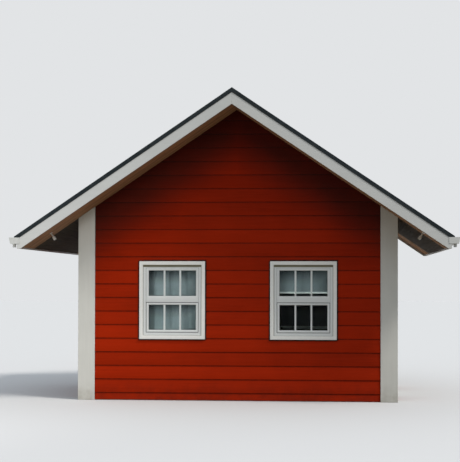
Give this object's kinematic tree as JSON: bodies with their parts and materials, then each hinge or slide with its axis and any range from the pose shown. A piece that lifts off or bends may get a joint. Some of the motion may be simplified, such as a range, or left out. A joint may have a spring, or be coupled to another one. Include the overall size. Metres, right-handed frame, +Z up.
{
  "type": "small gable hut",
  "caption": "Small gable hut with lapped siding, wide corner boards, sash windows in both gable walls, deep verges, open gutters and a side door.",
  "frame": {"origin": "on the ground under the middle of the roof, at the centre of the bounding box's base", "axes": "+Z up, the front gable faces -Y, +X along the width to the right as seen from the front"},
  "size_m": [6.728, 4.412, 4.7496],
  "materials": {
    "slab_concrete": "floated concrete",
    "wall_lining": "painted board",
    "siding_red": "satin barn red paint",
    "trim_white": "satin white paint",
    "frame_timber": "sawn softwood",
    "soffit_wood": "stained boards",
    "roof_shingle": "mineral-faced charcoal shingles",
    "roof_metal": "matt charcoal coating",
    "gutter_white": "satin white coating",
    "lamp_white": "satin white coating",
    "window_white": "satin white",
    "window_glass": "clear float glass",
    "blind_cloth": "plain woven blind cloth",
    "door_paint": "satin white paint",
    "handle_steel": "satin steel"
  },
  "bodies": {
    "root": {"floor_slab": "slab_concrete", "front_wall": "wall_lining", "rear_wall": "wall_lining", "left_wall": "wall_lining", "right_wall": "wall_lining", "front_siding": "siding_red", "rear_siding": "siding_red", "left_siding": "siding_red", "right_siding": "siding_red", "front_left_corner_board": "trim_white", "front_right_corner_board": "trim_white", "rear_left_corner_board": "trim_white", "rear_right_corner_board": "trim_white", "ridge_board": "frame_timber", "rafters": "frame_timber", "left_soffit": "soffit_wood", "right_soffit": "soffit_wood", "front_bargeboards": "trim_white", "rear_bargeboards": "trim_white", "fascias": "trim_white", "left_roof_deck": "frame_timber", "right_roof_deck": "frame_timber", "left_shingles": "roof_shingle", "right_shingles": "roof_shingle", "ridge_cap": "roof_shingle", "verge_trims": "roof_metal", "left_gutter": "gutter_white", "right_gutter": "gutter_white", "eave_lamps": "lamp_white", "front_window_casings": "window_white", "front_window_frames": "window_white", "front_upper_sashes": "window_white", "front_lower_sashes": "window_white", "front_glass": "window_glass", "front_left_blind": "blind_cloth", "front_right_blind": "blind_cloth", "rear_window_casings": "window_white", "rear_window_frames": "window_white", "rear_upper_sashes": "window_white", "rear_lower_sashes": "window_white", "rear_glass": "window_glass", "rear_blinds": "blind_cloth", "door_casing": "trim_white", "door_leaf": "door_paint", "door_handle": "handle_steel"}
  },
  "joints": []
}
